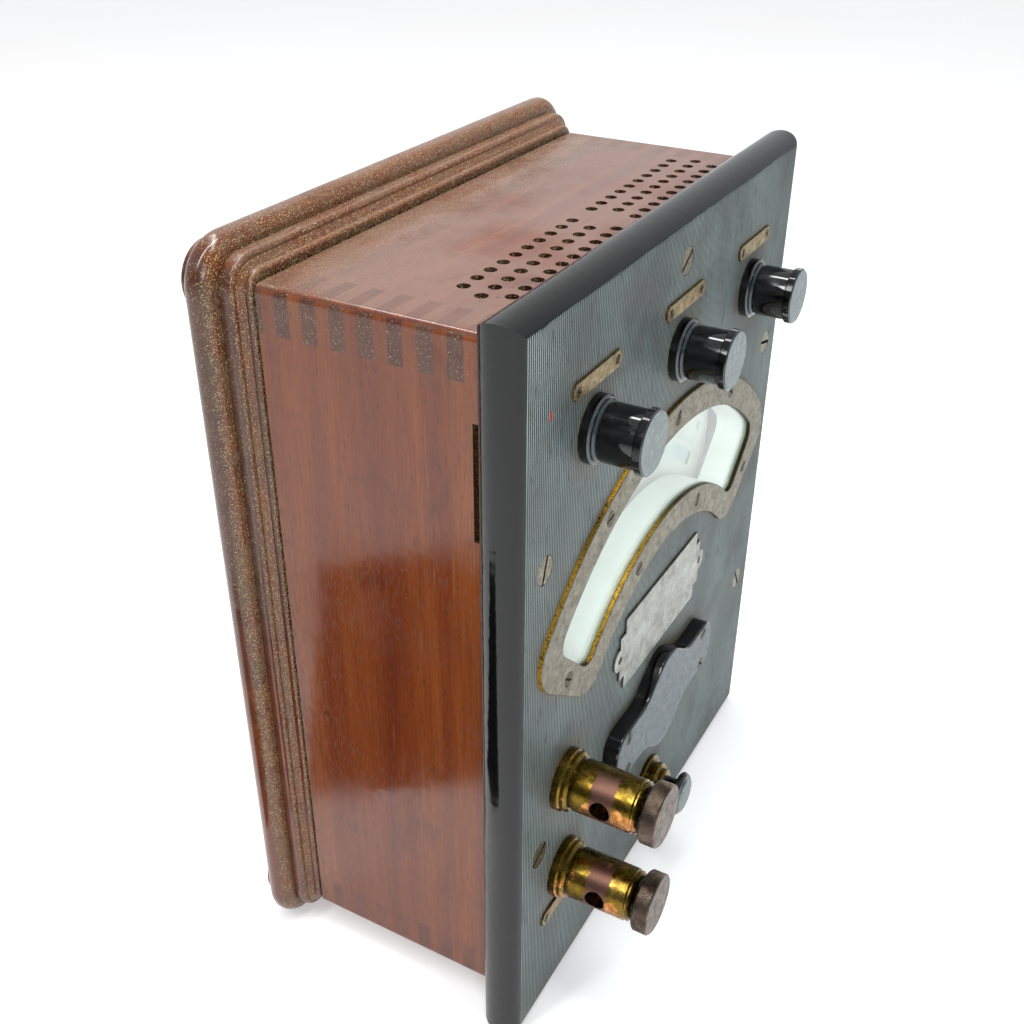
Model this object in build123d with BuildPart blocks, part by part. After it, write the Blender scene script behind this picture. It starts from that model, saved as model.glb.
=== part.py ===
from build123d import *
import os
from math import cos, radians, sin

# Portable laboratory test meter: a dovetail-finger mahogany case on a moulded plinth, closed by
# a ribbed ebonite panel. The part stands on its end, as when the leads are fitted: +Z is up,
# the panel looks towards -Y, and the plinth with its four feet looks towards +Y.
# The origin is on the floor under the middle of the whole part. Lengths are in millimetres.

# ---- Driving dimensions -------------------------------------------------------------------
front_y = -38.5          # flat front face of the panel
face_width = 202.6       # flat face of the panel between its rounded edges
face_height = 254.0
panel_thickness = 14.0
roll = 4.6               # how far the rounded edge stands out past the flat face

case_half_width = 96.3
case_low = 10.1
case_high = 254.8
case_front = -21.2
case_back = 49.8
wall = 14.0              # thickness of all four walls
finger = 4.9             # tail of the top and bottom walls, seen from the side
finger_pitch = 9.27
finger_count = 8
first_finger = 4.3       # long-grain land beside the panel
slot_low, slot_high = 193.1, 229.7   # lifting notches in the side walls
slot_depth = 1.9

vent_radius = 2.0
vent_pitch = 7.3
vent_rows = [(-0.5, -68.8, 6.3), (-8.4, -72.7, 13.7), (-15.9, -69.3, 6.9)]  # y, first x, extra

plinth_half_width = 106.3
plinth_height = 266.9
plinth_front = 49.8
plinth_back = 68.7
plinth_corner = 15.0
torus = 5.0              # radius of the plinth's large rounded edge
shadow_gap = 0.8
foot_radius = 11.0
foot_back = 74.15
foot_inset_x, foot_inset_z = 16.0, 15.0

pivot_z = 73.1           # centre of the scale arc, where the movement turns
window_outer, window_inner = 115.7, 86.3
window_half_angle = 46.0
bezel_rim = 10.6
bezel_thickness = 1.5

terminal_x = (-62.7, 0.0, 62.7)
terminal_z = 218.3
collar_radius = 10.3
post_x = -73.85
post_z = (96.1, 56.0)
post_radius = 8.9
lead_hole_radius = 3.5
lead_hole_y = front_y - 16.6
key_z = 33.2

os.makedirs("parts", exist_ok=True)


# ---- Helpers ------------------------------------------------------------------------------
def facing(depth):
    """The plane that looks at the reader, depth mm behind the panel's face; local y is up."""
    return Plane(origin=(0, front_y + depth, 0), x_dir=(1, 0, 0), z_dir=(0, -1, 0))


def turned(x, z, outline):
    """A solid of revolution about a line along Y; outline lists (radius, depth) pairs."""
    with BuildPart() as piece:
        with BuildSketch(Plane(origin=(x, front_y, z))):
            with BuildLine():
                Polyline(*outline, close=True)
            make_face()
        revolve(axis=Axis((x, front_y, z), (0, 1, 0)))
    return piece.part


def knurled(x, z, outline, radius, teeth, groove):
    """The same solid with straight knurling cut all along its largest radius."""
    low = min(depth for _, depth in outline)
    high = max(depth for _, depth in outline)
    with BuildPart() as piece:
        add(turned(x, z, outline))
        with BuildSketch(Plane(origin=(x, front_y + high, z), x_dir=(1, 0, 0), z_dir=(0, -1, 0))):
            Circle(radius)
            with PolarLocations(radius, teeth):
                RegularPolygon(groove, 3, rotation=180, mode=Mode.SUBTRACT)
        extrude(amount=high - low, mode=Mode.INTERSECT)
    return piece.part


def countersunk(x, z, size, sunk=0.0, way=1):
    """The hole of a countersunk screw: its flat head is at depth sunk, its point way inwards."""
    head, cone, length, shank = size
    outline = [
        (0, 0), (head, 0), (head, 0.4), (shank, cone), (shank, length - shank),
        (0.2, length), (0, length),
    ]
    return turned(x, z, [(radius, sunk + way * along) for radius, along in outline])


def screw(x, z, size, slot_width, angle, sunk=0.0, way=1):
    """The slotted screw for such a hole, its head 0.15 mm smaller in radius."""
    with BuildPart() as piece:
        add(countersunk(x, z, (size[0] - 0.15, *size[1:]), sunk, way))
        with BuildSketch(facing(sunk)):
            with Locations((x, z)):
                Rectangle(2.4 * size[0], slot_width, rotation=angle)
        extrude(amount=-way * 0.45 * size[1], mode=Mode.SUBTRACT)
    return piece.part


def polar(radius, degrees):
    """A point of the scale arc, degrees clockwise from straight up."""
    return (radius * sin(radians(degrees)), pivot_z + radius * cos(radians(degrees)))


def sector(inner, outer, half_angle, rounding):
    """A rounded piece of ring about the movement's axis, drawn in the open sketch."""
    with BuildSketch(mode=Mode.PRIVATE) as shape:
        with BuildLine():
            CenterArc((0, pivot_z), outer, 90 - half_angle, 2 * half_angle)
            Line(polar(outer, -half_angle), polar(inner, -half_angle))
            CenterArc((0, pivot_z), inner, 90 - half_angle, 2 * half_angle)
            Line(polar(inner, half_angle), polar(outer, half_angle))
        make_face()
        fillet(shape.vertices(), rounding)
    return shape.sketch


def save(piece, name):
    piece.label = name
    export_step(piece, f"parts/{name}.step")


# ---- Screw places -------------------------------------------------------------------------
panel_screws = [(sx * 90.7, 131.6 + sz * 55.2) for sx in (-1, 1) for sz in (-1, 1)]
panel_screws += [(0.0, 247.4), (0.0, 15.8)]
panel_screw_size = (4.6, 3.4, 28.0, 2.2)

bezel_mid = bezel_rim / 2
bezel_screws = [polar(window_outer + bezel_mid, a) for a in (-25, 0, 25)]
bezel_screws += [polar(window_inner - bezel_mid, a) for a in (-18.5, 18.5)]
bezel_screws += [polar(101.0, a) for a in (-49.2, 49.2)]
bezel_screw_size = (2.6, 1.5, 9.0, 1.2)

nameplate_z = 117.9
nameplate_screws = [(-35.5, nameplate_z), (35.5, nameplate_z)]
cover_z = 77.8
cover_thickness = 6.0
cover_screws = [(sx * 34.8, cover_z + sz * 7.3) for sx in (-1, 1) for sz in (-1, 1)]
cover_screw_size = (2.5, 1.8, 14.0, 1.2)
label_size = (30.0, 5.0)
label_thickness = 0.9
label_places = [(x, 234.6) for x in terminal_x] + [(post_x, 42.3)]
label_screws = [(x + s * 12.2, z) for x, z in label_places for s in (-1, 1)]
small_screw_size = (1.5, 1.0, 7.0, 0.8)


# ---- Plinth, feet and case ----------------------------------------------------------------
def tier(inset, front, back, rounding):
    """One layer of the plinth, inset evenly from its outermost line, its front edge rounded."""
    with BuildPart() as layer:
        with BuildSketch(facing(back - front_y)):
            with Locations((0, plinth_height / 2)):
                RectangleRounded(
                    2 * (plinth_half_width - inset), plinth_height - 2 * inset, plinth_corner - inset
                )
        extrude(amount=back - front)
        fillet(layer.faces().sort_by(Axis.Y)[0].edges(), rounding)
    return layer.part


# Moulding, from the case outwards: a small roll, a hollow, an upright fillet and a torus.
foot_depth = plinth_back - front_y
plinth_screw_size = (4.4, 3.2, 36.0, 2.2)
plinth_screw_places = [
    (sx * (case_half_width - wall / 2), z) for sx in (-1, 1) for z in (45, 132, 220)
]
roll_inset, hollow_inset, fillet_inset = 9.1, 6.2, 5.2
roll_front, hollow_back, fillet_front = plinth_front + shadow_gap, 54.6, 54.0
torus_front = plinth_back - 2 * torus
with BuildPart() as plinth:
    with BuildPart(mode=Mode.PRIVATE) as torus_tier:
        add(tier(0, torus_front, plinth_back, torus - 0.03))
        fillet(torus_tier.faces().sort_by(Axis.Y)[-1].edges(), torus - 0.03)
    add(torus_tier.part)
    add(tier(fillet_inset, fillet_front, torus_front + torus, 1.6))
    add(tier(roll_inset, roll_front, hollow_back, 1.3))
    with BuildSketch(facing(hollow_back - front_y)):
        with Locations((0, plinth_height / 2)):
            RectangleRounded(
                2 * (plinth_half_width - hollow_inset),
                plinth_height - 2 * hollow_inset,
                plinth_corner - hollow_inset,
            )
    extrude(amount=2.2, taper=55)
    with BuildSketch(facing(plinth_front + 2.0 - front_y)):
        with Locations((0, (case_low + case_high) / 2)):
            Rectangle(2 * case_half_width - 4, case_high - case_low - 4)
    extrude(amount=2.0)
    for px, pz in plinth_screw_places:
        add(countersunk(px, pz, plinth_screw_size, foot_depth, -1), mode=Mode.SUBTRACT)
save(plinth.part, "plinth")

with BuildPart() as plinth_screws:
    for px, pz in plinth_screw_places:
        add(screw(px, pz, plinth_screw_size, 0.9, 20 + pz, foot_depth, -1))
save(plinth_screws.part, "plinth_screws")

foot_height = foot_back - plinth_back
foot_places = [
    (sx * (plinth_half_width - foot_inset_x), z)
    for sx in (-1, 1)
    for z in (foot_inset_z, plinth_height - foot_inset_z)
]
with BuildPart() as plinth_feet:
    for fx, fz in foot_places:
        with BuildPart(mode=Mode.PRIVATE) as foot:
            add(
                turned(
                    fx,
                    fz,
                    [
                        (0, foot_depth), (foot_radius - 1.2, foot_depth),
                        (foot_radius, foot_depth + 1.6), (foot_radius, foot_depth + 3.0),
                        (foot_radius - 3.2, foot_depth + foot_height),
                        (0, foot_depth + foot_height),
                    ],
                )
            )
            fillet(foot.edges().filter_by(GeomType.CIRCLE).group_by(SortBy.RADIUS)[-1], 0.7)
        add(foot.part)
save(plinth_feet.part, "plinth_feet")

# The tails of the top and bottom walls run through the side walls at every corner.
finger_starts = [case_front + first_finger + finger_pitch * k for k in range(finger_count)]
finger_spans = [(y, min(y + finger, case_back)) for y in finger_starts]


def tail_solids(side):
    """The eight tails of one upper and one lower corner, on the side given by its sign."""
    with BuildPart() as tails:
        for low, high in finger_spans:
            for z in (case_low + wall / 2, case_high - wall / 2):
                with Locations((side * (case_half_width - wall / 2), (low + high) / 2, z)):
                    Box(wall, high - low, wall)
    return tails.part


case_depth = case_back - case_front
case_mid_y = (case_front + case_back) / 2
case_height = case_high - case_low
edge_round = 2.6

with BuildPart() as case_shape:
    with Locations((0, case_mid_y, (case_low + case_high) / 2)):
        Box(2 * case_half_width, case_depth, case_height)
    fillet(case_shape.edges().filter_by(Axis.Y), edge_round)

for side, name in ((-1, "case_wall_left"), (1, "case_wall_right")):
    with BuildPart() as side_wall:
        with Locations((side * (case_half_width - wall / 2), case_mid_y, (case_low + case_high) / 2)):
            Box(wall, case_depth, case_height)
        add(tail_solids(side), mode=Mode.SUBTRACT)
        with Locations(
            (side * case_half_width, case_front, (slot_low + slot_high) / 2)
        ):
            Box(2 * (wall - 3.0), 2 * slot_depth, slot_high - slot_low, mode=Mode.SUBTRACT)
        add(case_shape.part, mode=Mode.INTERSECT)
        for sx, sz in panel_screws:
            add(countersunk(sx, sz, panel_screw_size), mode=Mode.SUBTRACT)
        for px, pz in plinth_screw_places:
            add(countersunk(px, pz, plinth_screw_size, foot_depth, -1), mode=Mode.SUBTRACT)
    save(side_wall.part, name)

vents = []
for vent_y, first_x, extra in vent_rows:
    for k in range(20):
        vents.append((first_x + vent_pitch * k + (extra if k > 9 else 0), vent_y))

for z_mid, name in ((case_low + wall / 2, "case_wall_bottom"), (case_high - wall / 2, "case_wall_top")):
    with BuildPart() as end_wall:
        with Locations((0, case_mid_y, z_mid)):
            Box(2 * (case_half_width - wall), case_depth, wall)
        with BuildPart(mode=Mode.PRIVATE) as corner_block:
            with Locations((0, case_mid_y, z_mid)):
                Box(2 * case_half_width, case_depth, wall)
        for side in (-1, 1):
            add(tail_solids(side).intersect(corner_block.part))
        if name == "case_wall_top":
            with BuildSketch(Plane.XY.offset(case_high)):
                with Locations(*vents):
                    Circle(vent_radius)
            extrude(amount=-wall, mode=Mode.SUBTRACT)
        add(case_shape.part, mode=Mode.INTERSECT)
        for sx, sz in panel_screws:
            add(countersunk(sx, sz, panel_screw_size), mode=Mode.SUBTRACT)
    save(end_wall.part, name)

gasket_inset = 1.2
with BuildPart() as panel_gasket:
    with BuildSketch(Plane.XZ.offset(-case_front)):
        with Locations((0, (case_low + case_high) / 2)):
            Rectangle(2 * (case_half_width - gasket_inset), case_height - 2 * gasket_inset)
            Rectangle(
                2 * (case_half_width - wall + 0.5), case_height - 2 * wall + 1, mode=Mode.SUBTRACT
            )
    extrude(amount=case_front - (front_y + panel_thickness))
    for sx, sz in panel_screws:
        add(countersunk(sx, sz, panel_screw_size), mode=Mode.SUBTRACT)
save(panel_gasket.part, "panel_gasket")

# ---- Panel and everything screwed to its face --------------------------------------------
face_mid = roll + face_height / 2


def slab_section(width):
    """The panel's section: a flat slab whose two edges are half ellipses."""
    with BuildSketch(mode=Mode.PRIVATE) as section:
        Rectangle(width, panel_thickness)
        for end in (-1, 1):
            with Locations((end * width / 2, 0)):
                Ellipse(roll, panel_thickness / 2)
    return section.sketch


panel_mid = Plane(
    origin=(0, front_y + panel_thickness / 2, face_mid), x_dir=(1, 0, 0), z_dir=(0, 0, 1)
)
panel_side = Plane(
    origin=(0, front_y + panel_thickness / 2, face_mid), x_dir=(0, 0, 1), z_dir=(1, 0, 0)
)
key_bore = 5.06
with BuildPart() as panel:
    with BuildSketch(panel_mid):
        add(slab_section(face_width))
    extrude(amount=face_height / 2 + roll, both=True)
    with BuildSketch(panel_side):
        add(slab_section(face_height))
    extrude(amount=face_width / 2 + roll, both=True, mode=Mode.INTERSECT)
    with BuildSketch(facing(0)):
        add(sector(window_inner - 1.0, window_outer + 1.0, window_half_angle + 0.6, 7.0))
    extrude(amount=-panel_thickness, mode=Mode.SUBTRACT)
    for sx, sz in panel_screws:
        add(countersunk(sx, sz, panel_screw_size), mode=Mode.SUBTRACT)
    for sx, sz in bezel_screws:
        add(countersunk(sx, sz, bezel_screw_size, -bezel_thickness), mode=Mode.SUBTRACT)
    for sx, sz in nameplate_screws + label_screws:
        add(countersunk(sx, sz, small_screw_size, -label_thickness), mode=Mode.SUBTRACT)
    for sx, sz in cover_screws:
        add(countersunk(sx, sz, cover_screw_size, -cover_thickness), mode=Mode.SUBTRACT)
    with BuildSketch(facing(0)):
        with Locations(*[(x, terminal_z) for x in terminal_x]):
            Circle(2.5)
        with Locations(*[(post_x, z) for z in post_z]):
            Circle(4.0)
        with Locations((0, key_z)):
            Circle(7.0)
    extrude(amount=-panel_thickness, mode=Mode.SUBTRACT)
save(panel.part, "panel")

with BuildPart() as panel_screw_set:
    for k, (sx, sz) in enumerate(panel_screws):
        add(screw(sx, sz, panel_screw_size, 1.1, 25 + 47 * k))
save(panel_screw_set.part, "panel_screws")

with BuildPart() as window_bezel:
    with BuildSketch(facing(0)):
        add(sector(window_inner - bezel_rim, window_outer + bezel_rim, 52.2, 13.0))
        add(
            sector(window_inner, window_outer, window_half_angle, 6.0),
            mode=Mode.SUBTRACT,
        )
    extrude(amount=bezel_thickness)
    chamfer(window_bezel.faces().sort_by(Axis.Y)[0].edges(), 0.25)
    for sx, sz in bezel_screws:
        add(countersunk(sx, sz, bezel_screw_size, -bezel_thickness), mode=Mode.SUBTRACT)
save(window_bezel.part, "window_bezel")

with BuildPart() as bezel_screw_set:
    for k, (sx, sz) in enumerate(bezel_screws):
        add(screw(sx, sz, bezel_screw_size, 0.7, 10 + 63 * k, -bezel_thickness))
save(bezel_screw_set.part, "bezel_screws")

glass_thickness = 2.0
with BuildPart() as window_glass:
    with BuildSketch(facing(0)):
        add(sector(window_inner - 0.9, window_outer + 0.9, window_half_angle + 0.5, 6.9))
    extrude(amount=-glass_thickness)
save(window_glass.part, "window_glass")

with BuildPart() as window_liner:
    with BuildSketch(facing(glass_thickness)):
        add(sector(window_inner - 0.95, window_outer + 0.95, window_half_angle + 0.55, 6.95))
        add(sector(window_inner, window_outer, window_half_angle, 6.0), mode=Mode.SUBTRACT)
    extrude(amount=-(panel_thickness - glass_thickness))
save(window_liner.part, "window_liner")

# The maker's plate: a rectangle whose ends step in and finish in a round lobe.
with BuildPart() as nameplate:
    with BuildSketch(facing(0)):
        with Locations((0, nameplate_z)):
            Rectangle(71.0, 18.0)
            Rectangle(63.0, 29.2)
        with Locations(*nameplate_screws):
            Circle(4.4)
        with Locations(*[(sx * 35.5, nameplate_z + sz * 14.6) for sx in (-1, 1) for sz in (-1, 1)]):
            Circle(4.0, mode=Mode.SUBTRACT)
    extrude(amount=label_thickness)
    for sx, sz in nameplate_screws:
        add(countersunk(sx, sz, small_screw_size, -label_thickness), mode=Mode.SUBTRACT)
save(nameplate.part, "nameplate")

# Ebonite block over the movement's front pivot: two square lobes joined by a swelling middle.
lobe_x, lobe_z, bulge_z = 44.0, 10.3, 20.4
with BuildPart() as cover_block:
    with BuildSketch(facing(0)) as cover_plan:
        with BuildLine():
            for sz in (1, -1):
                Spline(
                    (-24.0, cover_z + sz * lobe_z),
                    (-12.5, cover_z + sz * 15.2),
                    (0, cover_z + sz * bulge_z),
                    (12.5, cover_z + sz * 15.2),
                    (24.0, cover_z + sz * lobe_z),
                    tangents=((1, 0), (1, 0)),
                )
            for sx in (1, -1):
                Polyline(
                    (sx * 24.0, cover_z + lobe_z),
                    (sx * lobe_x, cover_z + lobe_z),
                    (sx * lobe_x, cover_z - lobe_z),
                    (sx * 24.0, cover_z - lobe_z),
                )
        make_face()
        fillet(cover_plan.vertices().filter_by(lambda v: abs(v.X) > lobe_x - 1), 7.0)
    extrude(amount=cover_thickness)
    fillet(cover_block.faces().sort_by(Axis.Y)[0].edges(), 1.0)
    for sx, sz in cover_screws:
        add(countersunk(sx, sz, cover_screw_size, -cover_thickness), mode=Mode.SUBTRACT)
save(cover_block.part, "cover_block")

with BuildPart() as cover_screw_set:
    for k, (sx, sz) in enumerate(cover_screws):
        add(screw(sx, sz, cover_screw_size, 0.7, 35 + 50 * k, -cover_thickness))
save(cover_screw_set.part, "cover_screws")

with BuildPart() as terminal_labels:
    for lx, lz in label_places:
        with BuildSketch(facing(0)):
            with Locations((lx, lz)):
                Rectangle(*label_size)
            with Locations(
                *[(lx + sx * 15.0, lz + sz * 2.5) for sx in (-1, 1) for sz in (-1, 1)]
            ):
                Circle(1.3, mode=Mode.SUBTRACT)
        extrude(amount=label_thickness)
    for sx, sz in label_screws:
        add(countersunk(sx, sz, small_screw_size, -label_thickness), mode=Mode.SUBTRACT)
save(terminal_labels.part, "terminal_labels")

with BuildPart() as plate_screws:
    for k, (sx, sz) in enumerate(nameplate_screws + label_screws):
        add(screw(sx, sz, small_screw_size, 0.5, 15 + 71 * k, -label_thickness))
save(plate_screws.part, "plate_screws")

# ---- Voltage terminals --------------------------------------------------------------------
stud_radius = 2.5
insert_radius = 4.0
with BuildPart() as terminal_collars:
    for tx in terminal_x:
        add(
            turned(
                tx,
                terminal_z,
                [
                    (stud_radius, 0), (collar_radius, 0), (collar_radius, -2.7),
                    (collar_radius - 0.6, -3.2), (9.3, -3.2), (9.3, -3.7), (8.7, -4.3),
                    (stud_radius, -4.3),
                ],
            )
        )
save(terminal_collars.part, "terminal_collars")

with BuildPart() as terminal_studs:
    for tx in terminal_x:
        add(
            turned(
                tx,
                terminal_z,
                [(0, -13.5), (stud_radius - 0.5, -13.5), (stud_radius, -13.0),
                 (stud_radius, 25.5), (stud_radius - 0.5, 26.0), (0, 26.0)],
            )
        )
save(terminal_studs.part, "terminal_studs")

running = 0.06           # radial clearance of every thread and turning fit
for k, tx in enumerate(terminal_x, 1):
    save(
        turned(
            tx,
            terminal_z,
            [(stud_radius + running, -4.7), (insert_radius, -4.7), (insert_radius, -14.6),
             (stud_radius + running, -14.6)],
        ),
        f"terminal_insert_{k}",
    )
    hole = insert_radius + running
    with BuildPart() as terminal_head:
        add(
            turned(
                tx,
                terminal_z,
                [
                    (hole, -4.6), (8.2, -4.6), (8.8, -5.2), (8.8, -15.4),
                    (9.0, -15.6), (0, -15.6), (0, -14.7), (hole, -14.7),
                ],
            )
        )
        add(
            knurled(
                tx,
                terminal_z,
                [(0, -15.6), (9.3, -15.6), (9.7, -16.0), (9.7, -18.0), (9.2, -18.5), (0, -18.5)],
                9.7,
                150,
                0.16,
            )
        )
    save(terminal_head.part, f"terminal_head_{k}")

# ---- Current posts ------------------------------------------------------------------------
spindle_radius = 3.0
post_stud_radius = 4.0
spindle_tip = lead_hole_radius + 0.15
with BuildPart() as current_posts:
    for pz in post_z:
        add(
            turned(
                post_x,
                pz,
                [
                    (0, 30.0), (post_stud_radius - 0.6, 30.0), (post_stud_radius, 29.4),
                    (post_stud_radius, 0), (10.6, 0), (10.6, -2.4), (10.1, -3.0),
                    (10.1, -4.3), (9.2, -5.3), (8.2, -5.3), (8.2, -6.1), (post_radius, -6.5),
                    (post_radius, -26.4), (8.4, -26.9), (8.4, -27.4), (8.7, -27.7),
                    (7.6, -29.0), (spindle_radius + running, -29.0),
                    (spindle_radius + running, lead_hole_y - front_y),
                    (0, lead_hole_y - front_y),
                ],
            )
        )
        with BuildSketch(Plane.YZ.offset(post_x)):
            with Locations((lead_hole_y, pz)):
                Circle(lead_hole_radius)
        extrude(amount=post_radius + 1, both=True, mode=Mode.SUBTRACT)
save(current_posts.part, "current_posts")

tip_depth = lead_hole_y - front_y - spindle_tip
head_bore = 2.0
for name, pz in (("upper", post_z[0]), ("lower", post_z[1])):
    save(
        turned(
            post_x,
            pz,
            [
                (0, tip_depth), (spindle_radius - 0.5, tip_depth),
                (spindle_radius, tip_depth - 0.5), (spindle_radius, -30.1),
                (head_bore, -30.1), (head_bore, -34.0), (0, -34.0),
            ],
        ),
        f"clamp_spindle_{name}",
    )
    with BuildPart() as clamp_head:
        add(
            knurled(
                post_x,
                pz,
                [
                    (0, -30.2), (9.9, -30.2), (10.4, -30.7), (10.4, -35.2),
                    (9.95, -35.65), (0, -35.65),
                ],
                10.4,
                120,
                0.22,
            )
        )
        add(
            turned(post_x, pz, [(0, -30.2), (head_bore + running, -30.2),
                                (head_bore + running, -34.1), (0, -34.1)]),
            mode=Mode.SUBTRACT,
        )
    save(clamp_head.part, f"clamp_head_{name}")

# Behind the panel each stud carries a washer, a nut, a soldering lug and a second nut.
small_stud = (terminal_x, (terminal_z,), stud_radius, 6.5, 1.0, 5.2, 3.5, 1.2)
large_stud = ((post_x,), post_z, post_stud_radius, 8.2, 1.5, 7.6, 5.0, 2.2)
with BuildPart() as stud_washers:
    for xs, zs, hole, washer, thick, nut, nut_height, lug in (small_stud, large_stud):
        with BuildSketch(facing(panel_thickness)):
            with Locations(*[(x, z) for x in xs for z in zs]):
                Circle(washer)
                Circle(hole, mode=Mode.SUBTRACT)
        extrude(amount=-thick)
save(stud_washers.part, "stud_washers")

with BuildPart() as stud_nuts:
    for xs, zs, hole, washer, thick, nut, nut_height, lug in (small_stud, large_stud):
        for depth in (thick, thick + nut_height + lug):
            with BuildSketch(facing(panel_thickness + depth)):
                with Locations(*[(x, z) for x in xs for z in zs]):
                    RegularPolygon(nut, 6)
                    Circle(hole, mode=Mode.SUBTRACT)
            extrude(amount=-nut_height)
save(stud_nuts.part, "stud_nuts")

with BuildPart() as stud_lugs:
    with BuildSketch(facing(panel_thickness + 4.5)):
        for tx in terminal_x:
            with Locations((tx, terminal_z)):
                Circle(4.6)
            with Locations((tx, terminal_z - 8.0)):
                Rectangle(3.6, 12.0)
        with Locations(*[(tx, terminal_z) for tx in terminal_x]):
            Circle(stud_radius, mode=Mode.SUBTRACT)
    extrude(amount=-1.2)
    with BuildSketch(facing(panel_thickness + 6.5)):
        for pz in post_z:
            with Locations((post_x, pz)):
                Circle(7.0)
            with Locations((post_x + 12.0, pz)):
                Rectangle(14.0, 6.0)
        with Locations(*[(post_x, pz) for pz in post_z]):
            Circle(post_stud_radius, mode=Mode.SUBTRACT)
    extrude(amount=-2.2)
save(stud_lugs.part, "stud_lugs")

# ---- Press key ----------------------------------------------------------------------------
with BuildPart() as key_collar:
    add(
        turned(
            0,
            key_z,
            [
                (key_bore, 14.0), (7.0, 14.0), (7.0, 0), (11.0, 0), (11.0, -1.2),
                (10.4, -1.8), (8.6, -1.8), (8.6, -3.0), (9.0, -3.4), (9.0, -5.0),
                (8.2, -5.8), (7.2, -5.8), (7.2, -7.4), (6.6, -8.0), (key_bore, -8.0),
            ],
        )
    )
save(key_collar.part, "key_collar")

with BuildPart() as key_plunger:
    add(
        turned(
            0,
            key_z,
            [
                (0, 15.0), (5.0, 15.0), (5.0, -12.9), (8.0, -13.2), (8.6, -13.9),
                (8.6, -15.0), (8.1, -15.9), (6.6, -16.9), (4.0, -17.5), (0, -17.7),
            ],
        )
    )
save(key_plunger.part, "key_plunger")

with BuildPart() as key_bridge:
    add(turned(0, key_z, [(0, 15.0), (8.5, 15.0), (8.5, 16.2), (0, 16.2)]))
save(key_bridge.part, "key_bridge")

with BuildPart() as key_blades:
    for side in (-1, 1):
        with BuildSketch(facing(19.6)):
            with Locations((side * 16.0, key_z)):
                Rectangle(24.0, 7.0)
        extrude(amount=-0.8)
        with BuildSketch(facing(panel_thickness)):
            with Locations((side * 24.5, key_z)):
                Rectangle(7.0, 7.0)
        extrude(amount=-5.6)
save(key_blades.part, "key_blades")

# ---- Movement -----------------------------------------------------------------------------
dial_depth = 18.0
with BuildPart() as dial_plate:
    with BuildSketch(facing(dial_depth)):
        add(sector(66.0, 122.5, 52.0, 3.0))
        with Locations((0, pivot_z + 95)):
            Rectangle(2 * 81.0, 120.0, mode=Mode.INTERSECT)
    extrude(amount=-1.0)
    with BuildSketch(facing(dial_depth)):
        add(sector(window_outer + 1.6, window_outer + 3.0, 40.0, 0.4))
    extrude(amount=dial_depth - panel_thickness)
save(dial_plate.part, "dial_plate")

with BuildPart() as dial_mirror:
    with BuildSketch(facing(dial_depth)):
        add(sector(92.0, 97.5, 41.0, 1.2))
    extrude(amount=0.3)
save(dial_mirror.part, "dial_mirror")

staff_radius = 0.8
pointer_depth = 16.0
rest_angle = -42.0       # the pointer lies at the left end of the scale


def at_rest(piece):
    """A moving piece drawn upright about the origin, turned to the zero mark and put in place."""
    return piece.rotate(Axis.Y, rest_angle).translate((0, 0, pivot_z))


with BuildPart() as pointer:
    with BuildSketch(facing(pointer_depth)):
        with BuildLine():
            Polyline(
                (-1.4, 2.4), (-0.22, 108.0), (0.22, 108.0), (1.4, 2.4), (0.9, -19.0),
                (-0.9, -19.0), close=True,
            )
        make_face()
        Circle(3.4)
        Circle(staff_radius, mode=Mode.SUBTRACT)
    extrude(amount=0.5)
save(at_rest(pointer.part), "pointer")

with BuildPart() as pointer_weight:
    with BuildSketch(facing(pointer_depth)):
        with Locations((0, -16.0)):
            Rectangle(4.0, 2.0)
    extrude(amount=-1.8)
save(at_rest(pointer_weight.part), "pointer_weight")

with BuildPart() as staff:
    add(
        turned(
            0,
            pivot_z,
            [(0, 15.3), (staff_radius, 15.3), (staff_radius, 61.0), (0.1, 63.4), (0, 63.4)],
        )
    )
save(staff.part, "staff")

coil_depth = 42.0
with BuildPart() as moving_coil:
    with BuildSketch(Plane(origin=(0, front_y + coil_depth, 0), x_dir=(0, 1, 0), z_dir=(0, 0, 1))):
        Circle(11.0)
        Circle(8.6, mode=Mode.SUBTRACT)
    extrude(amount=2.4, both=True)
    add(
        turned(0, 0, [(0, 25), (staff_radius, 25), (staff_radius, 60), (0, 60)]),
        mode=Mode.SUBTRACT,
    )
save(at_rest(moving_coil.part), "moving_coil")

with BuildPart() as damping_vane:
    with BuildSketch(facing(60.2)):
        with Locations((0, -21.0)):
            Rectangle(1.2, 39.0)
        Circle(2.6)
        Circle(staff_radius, mode=Mode.SUBTRACT)
    extrude(amount=-0.6)
    with BuildSketch(facing(54.0)):
        with Locations((0, -35.5)):
            Rectangle(0.8, 10.0)
    extrude(amount=-6.8)
save(at_rest(damping_vane.part), "damping_vane")


def spiral(depth, inner, turns, gap):
    """A flat hairspring about the staff, drawn as half circles that grow by gap per turn."""
    with BuildPart() as spring:
        with BuildSketch(facing(depth)):
            with BuildLine(mode=Mode.PRIVATE) as path:
                x = inner
                sign = 1
                for k in range(2 * turns):
                    far = -sign * (abs(x) + gap / 2)
                    middle = (x + far) / 2
                    ThreePointArc(
                        (x, pivot_z),
                        (middle, pivot_z + sign * abs(x - middle)),
                        (far, pivot_z),
                    )
                    x = far
                    sign = -sign
            trace(path.line, 0.22)
        extrude(amount=-0.7)
    return spring.part


with BuildPart() as hairsprings:
    add(spiral(24.4, 1.9, 5, 0.8))
    add(spiral(55.0, 1.9, 5, 0.8))
save(hairsprings.part, "hairsprings")


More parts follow.
